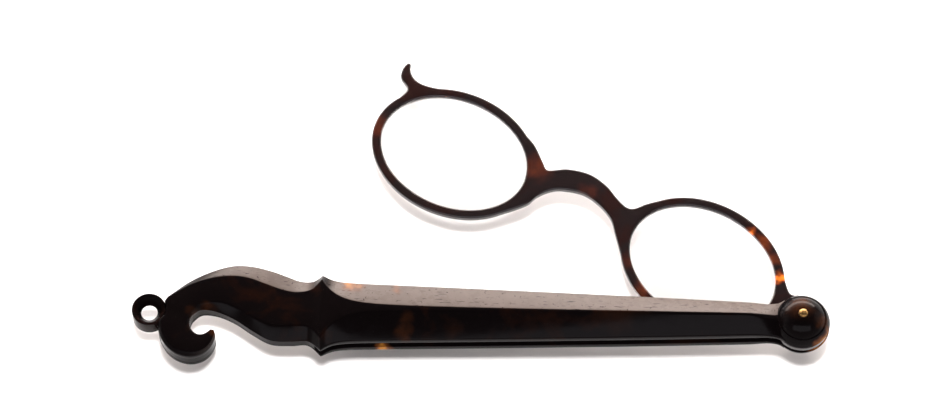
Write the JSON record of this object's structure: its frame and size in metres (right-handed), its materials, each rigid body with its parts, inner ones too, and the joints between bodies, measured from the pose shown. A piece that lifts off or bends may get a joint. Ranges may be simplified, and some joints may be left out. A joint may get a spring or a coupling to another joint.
{
  "type": "folding lorgnette",
  "caption": "Antique folding lorgnette: a pair of oval lenses in a shell frame that pivots in a carved shell handle with a ball head, a scroll end and a suspension ring",
  "frame": {"origin": "centre of the suspension ring, on the middle plane of the handle", "axes": "+X runs along the handle from the suspension ring to the ball head, +Y is the side to which the lenses open, +Z leaves the front face of the handle, which lies up when the lorgnette rests on a table"},
  "size_m": [0.1621, 0.078, 0.0138],
  "materials": {
    "shell_front": "polished dark tortoiseshell, the front cheek of the handle",
    "shell_back": "polished dark tortoiseshell with amber patches, the back cheek of the handle",
    "shell_core": "polished dark tortoiseshell, the thin plate between the cheeks",
    "shell_frame": "polished red brown tortoiseshell, light where it is thin",
    "lens_glass": "clear polished spectacle glass",
    "pin_brass": "peened gilt pin head, slightly hammered"
  },
  "bodies": {
    "handle": {"front_cheek": "shell_front", "back_cheek": "shell_back", "spacer_and_ring": "shell_core", "pivot_pin": "pin_brass"},
    "frame": {"lens_frame": "shell_frame", "near_lens": "lens_glass", "far_lens": "lens_glass"}
  },
  "joints": [
    {"name": "frame_pivot", "type": "hinge", "parent": "handle", "child": "frame", "pos_m": [0.15146, 0, 0], "axis": [0, 0, 1], "range_deg": [-122.5, 27.5]}
  ]
}
